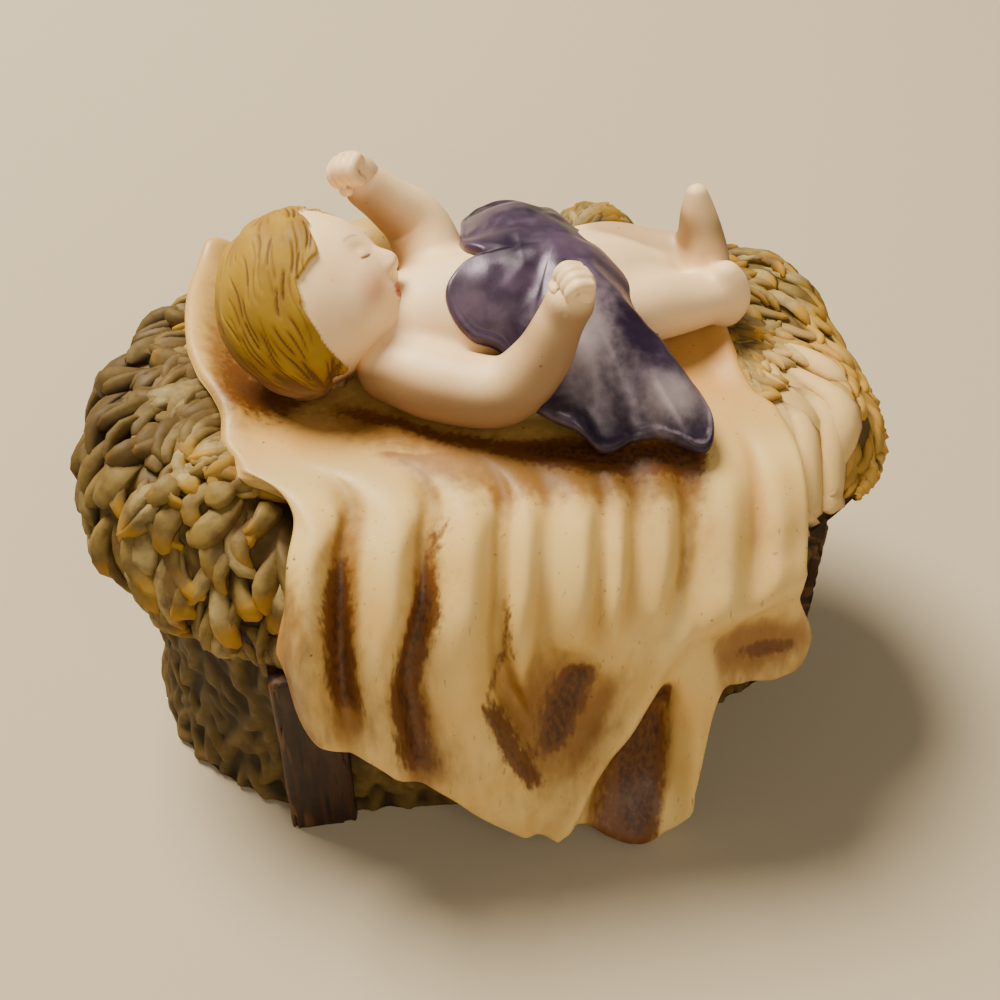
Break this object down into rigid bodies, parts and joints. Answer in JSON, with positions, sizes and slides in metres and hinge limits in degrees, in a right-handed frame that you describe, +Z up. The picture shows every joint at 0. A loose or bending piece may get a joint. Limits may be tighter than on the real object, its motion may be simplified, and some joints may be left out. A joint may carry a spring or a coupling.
{
  "type": "nativity infant figurine",
  "caption": "Hand-painted bisque porcelain figurine of an infant lying on a draped blanket over a straw manger, standing on its own flat base.",
  "frame": {"origin": "middle of the flat underside", "axes": "+Z up, +X from the infant's head to the feet, -Y towards the draped front"},
  "size_m": [0.0796, 0.056, 0.0567],
  "materials": {
    "painted_bisque": "hand-painted unglazed bisque porcelain with a satin wash",
    "straw": "bisque painted ochre and cream, brown wash in the hollows",
    "wood": "bisque painted dark brown, satin",
    "blanket": "bisque painted cream, brown stain in the folds, satin",
    "skin": "smooth tinted bisque, soft satin",
    "hair": "bisque painted yellow ochre with darker grooves",
    "purple_cloth": "bisque painted with pearly purple metallic paint"
  },
  "bodies": {
    "root": {"figurine": "painted_bisque"}
  },
  "joints": []
}
